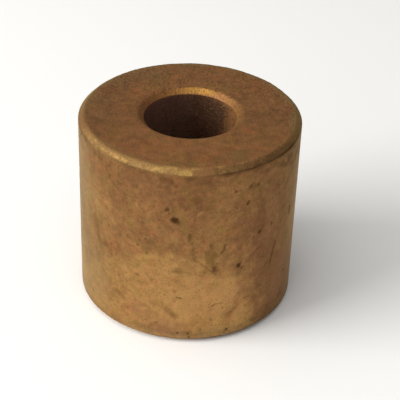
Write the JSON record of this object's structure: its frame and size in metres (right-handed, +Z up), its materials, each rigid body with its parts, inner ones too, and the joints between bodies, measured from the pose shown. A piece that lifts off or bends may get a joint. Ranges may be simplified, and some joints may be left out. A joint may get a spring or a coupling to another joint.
{
  "type": "shaft bushing",
  "caption": "Thick-walled cylindrical sleeve of sintered bronze with a plain through bore and small chamfers at both ends, a plain bearing for a turning shaft.",
  "frame": {"origin": "centre of the lower end face, on the axis of the bore", "axes": "+Z up along the axis of the bore; +X and +Y lie in the lower end face, and the side in the picture faces -Y"},
  "size_m": [0.024, 0.024, 0.022],
  "materials": {
    "sintered_bronze": "dull aged bronze with a fine sintered grain, brown mottled tarnish, brighter chamfers and an oil-dark bore"
  },
  "bodies": {
    "root": {"bushing": "sintered_bronze"}
  },
  "joints": []
}
